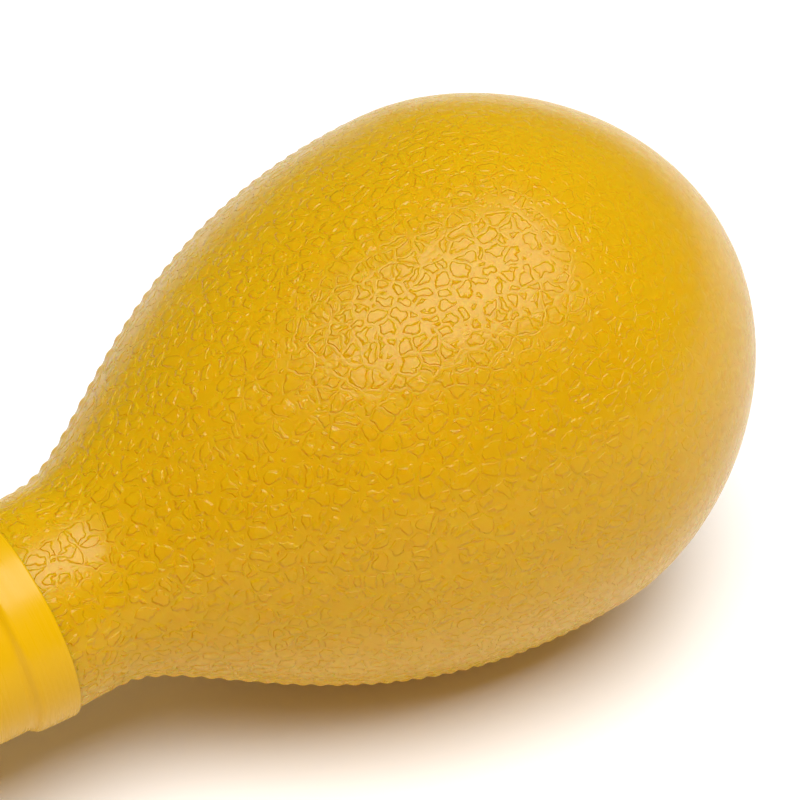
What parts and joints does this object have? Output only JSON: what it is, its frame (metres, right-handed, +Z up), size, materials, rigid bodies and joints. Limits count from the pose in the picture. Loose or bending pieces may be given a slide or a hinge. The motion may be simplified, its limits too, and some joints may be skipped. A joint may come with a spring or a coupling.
{
  "type": "maraca",
  "caption": "Plastic maraca with an egg-shaped grained head full of loose steel shot, a necked stopper, and a glossy hollow handle with a collar and a domed butt cap.",
  "frame": {"origin": "on the floor, under the middle of the whole maraca as it lies on its side", "axes": "+X from the butt towards the head, the maraca's axis leaning up along it by 7.5 degrees; +Z up; +Y completes a right-handed frame"},
  "size_m": [0.2488, 0.076, 0.0763],
  "materials": {
    "head_plastic": "satin, leather-grain moulded surface",
    "handle_plastic": "glossy smooth moulding",
    "stopper_plastic": "natural matt moulding",
    "shot_steel": "polished ball"
  },
  "bodies": {
    "maraca": {"head_shell": "head_plastic", "neck_plug": "stopper_plastic", "handle": "handle_plastic", "end_cap": "handle_plastic"},
    "shot_01": {"shot_01": "shot_steel"},
    "shot_02": {"shot_02": "shot_steel"},
    "shot_03": {"shot_03": "shot_steel"},
    "shot_04": {"shot_04": "shot_steel"},
    "shot_05": {"shot_05": "shot_steel"},
    "shot_06": {"shot_06": "shot_steel"},
    "shot_07": {"shot_07": "shot_steel"},
    "shot_08": {"shot_08": "shot_steel"},
    "shot_09": {"shot_09": "shot_steel"},
    "shot_10": {"shot_10": "shot_steel"},
    "shot_11": {"shot_11": "shot_steel"},
    "shot_12": {"shot_12": "shot_steel"},
    "shot_13": {"shot_13": "shot_steel"},
    "shot_14": {"shot_14": "shot_steel"},
    "shot_15": {"shot_15": "shot_steel"},
    "shot_16": {"shot_16": "shot_steel"},
    "shot_17": {"shot_17": "shot_steel"},
    "shot_18": {"shot_18": "shot_steel"},
    "shot_19": {"shot_19": "shot_steel"},
    "shot_20": {"shot_20": "shot_steel"},
    "shot_21": {"shot_21": "shot_steel"},
    "shot_22": {"shot_22": "shot_steel"},
    "shot_23": {"shot_23": "shot_steel"},
    "shot_24": {"shot_24": "shot_steel"},
    "shot_25": {"shot_25": "shot_steel"},
    "shot_26": {"shot_26": "shot_steel"},
    "shot_27": {"shot_27": "shot_steel"},
    "shot_28": {"shot_28": "shot_steel"},
    "shot_29": {"shot_29": "shot_steel"},
    "shot_30": {"shot_30": "shot_steel"},
    "shot_31": {"shot_31": "shot_steel"},
    "shot_32": {"shot_32": "shot_steel"},
    "shot_33": {"shot_33": "shot_steel"},
    "shot_34": {"shot_34": "shot_steel"},
    "shot_35": {"shot_35": "shot_steel"},
    "shot_36": {"shot_36": "shot_steel"},
    "shot_37": {"shot_37": "shot_steel"},
    "shot_38": {"shot_38": "shot_steel"},
    "shot_39": {"shot_39": "shot_steel"},
    "shot_40": {"shot_40": "shot_steel"}
  },
  "joints": [
    {"name": "shot_01_flight", "type": "slide", "parent": "maraca", "child": "shot_01", "axis": [0, 0, 1], "range_m": [0, 0.0669]},
    {"name": "shot_02_flight", "type": "slide", "parent": "maraca", "child": "shot_02", "axis": [0, 0, 1], "range_m": [0, 0.0674]},
    {"name": "shot_03_flight", "type": "slide", "parent": "maraca", "child": "shot_03", "axis": [0, 0, 1], "range_m": [0, 0.0674]},
    {"name": "shot_04_flight", "type": "slide", "parent": "maraca", "child": "shot_04", "axis": [0, 0, 1], "range_m": [0, 0.0675]},
    {"name": "shot_05_flight", "type": "slide", "parent": "maraca", "child": "shot_05", "axis": [0, 0, 1], "range_m": [0, 0.0655]},
    {"name": "shot_06_flight", "type": "slide", "parent": "maraca", "child": "shot_06", "axis": [0, 0, 1], "range_m": [0, 0.0655]},
    {"name": "shot_07_flight", "type": "slide", "parent": "maraca", "child": "shot_07", "axis": [0, 0, 1], "range_m": [0, 0.0661]},
    {"name": "shot_08_flight", "type": "slide", "parent": "maraca", "child": "shot_08", "axis": [0, 0, 1], "range_m": [0, 0.0661]},
    {"name": "shot_09_flight", "type": "slide", "parent": "maraca", "child": "shot_09", "axis": [0, 0, 1], "range_m": [0, 0.0641]},
    {"name": "shot_10_flight", "type": "slide", "parent": "maraca", "child": "shot_10", "axis": [0, 0, 1], "range_m": [0, 0.0667]},
    {"name": "shot_11_flight", "type": "slide", "parent": "maraca", "child": "shot_11", "axis": [0, 0, 1], "range_m": [0, 0.0667]},
    {"name": "shot_12_flight", "type": "slide", "parent": "maraca", "child": "shot_12", "axis": [0, 0, 1], "range_m": [0, 0.0663]},
    {"name": "shot_13_flight", "type": "slide", "parent": "maraca", "child": "shot_13", "axis": [0, 0, 1], "range_m": [0, 0.0663]},
    {"name": "shot_14_flight", "type": "slide", "parent": "maraca", "child": "shot_14", "axis": [0, 0, 1], "range_m": [0, 0.0657]},
    {"name": "shot_15_flight", "type": "slide", "parent": "maraca", "child": "shot_15", "axis": [0, 0, 1], "range_m": [0, 0.0657]},
    {"name": "shot_16_flight", "type": "slide", "parent": "maraca", "child": "shot_16", "axis": [0, 0, 1], "range_m": [0, 0.0632]},
    {"name": "shot_17_flight", "type": "slide", "parent": "maraca", "child": "shot_17", "axis": [0, 0, 1], "range_m": [0, 0.0632]},
    {"name": "shot_18_flight", "type": "slide", "parent": "maraca", "child": "shot_18", "axis": [0, 0, 1], "range_m": [0, 0.0639]},
    {"name": "shot_19_flight", "type": "slide", "parent": "maraca", "child": "shot_19", "axis": [0, 0, 1], "range_m": [0, 0.0639]},
    {"name": "shot_20_flight", "type": "slide", "parent": "maraca", "child": "shot_20", "axis": [0, 0, 1], "range_m": [0, 0.0617]},
    {"name": "shot_21_flight", "type": "slide", "parent": "maraca", "child": "shot_21", "axis": [0, 0, 1], "range_m": [0, 0.0617]},
    {"name": "shot_22_flight", "type": "slide", "parent": "maraca", "child": "shot_22", "axis": [0, 0, 1], "range_m": [0, 0.0636]},
    {"name": "shot_23_flight", "type": "slide", "parent": "maraca", "child": "shot_23", "axis": [0, 0, 1], "range_m": [0, 0.0636]},
    {"name": "shot_24_flight", "type": "slide", "parent": "maraca", "child": "shot_24", "axis": [0, 0, 1], "range_m": [0, 0.0647]},
    {"name": "shot_25_flight", "type": "slide", "parent": "maraca", "child": "shot_25", "axis": [0, 0, 1], "range_m": [0, 0.0647]},
    {"name": "shot_26_flight", "type": "slide", "parent": "maraca", "child": "shot_26", "axis": [0, 0, 1], "range_m": [0, 0.0643]},
    {"name": "shot_27_flight", "type": "slide", "parent": "maraca", "child": "shot_27", "axis": [0, 0, 1], "range_m": [0, 0.0642]},
    {"name": "shot_28_flight", "type": "slide", "parent": "maraca", "child": "shot_28", "axis": [0, 0, 1], "range_m": [0, 0.0642]},
    {"name": "shot_29_flight", "type": "slide", "parent": "maraca", "child": "shot_29", "axis": [0, 0, 1], "range_m": [0, 0.0635]},
    {"name": "shot_30_flight", "type": "slide", "parent": "maraca", "child": "shot_30", "axis": [0, 0, 1], "range_m": [0, 0.0635]},
    {"name": "shot_31_flight", "type": "slide", "parent": "maraca", "child": "shot_31", "axis": [0, 0, 1], "range_m": [0, 0.0592]},
    {"name": "shot_32_flight", "type": "slide", "parent": "maraca", "child": "shot_32", "axis": [0, 0, 1], "range_m": [0, 0.0599]},
    {"name": "shot_33_flight", "type": "slide", "parent": "maraca", "child": "shot_33", "axis": [0, 0, 1], "range_m": [0, 0.0599]},
    {"name": "shot_34_flight", "type": "slide", "parent": "maraca", "child": "shot_34", "axis": [0, 0, 1], "range_m": [0, 0.0606]},
    {"name": "shot_35_flight", "type": "slide", "parent": "maraca", "child": "shot_35", "axis": [0, 0, 1], "range_m": [0, 0.0606]},
    {"name": "shot_36_flight", "type": "slide", "parent": "maraca", "child": "shot_36", "axis": [0, 0, 1], "range_m": [0, 0.0623]},
    {"name": "shot_37_flight", "type": "slide", "parent": "maraca", "child": "shot_37", "axis": [0, 0, 1], "range_m": [0, 0.0623]},
    {"name": "shot_38_flight", "type": "slide", "parent": "maraca", "child": "shot_38", "axis": [0, 0, 1], "range_m": [0, 0.0582]},
    {"name": "shot_39_flight", "type": "slide", "parent": "maraca", "child": "shot_39", "axis": [0, 0, 1], "range_m": [0, 0.0582]},
    {"name": "shot_40_flight", "type": "slide", "parent": "maraca", "child": "shot_40", "axis": [0, 0, 1], "range_m": [0, 0.0603]}
  ]
}
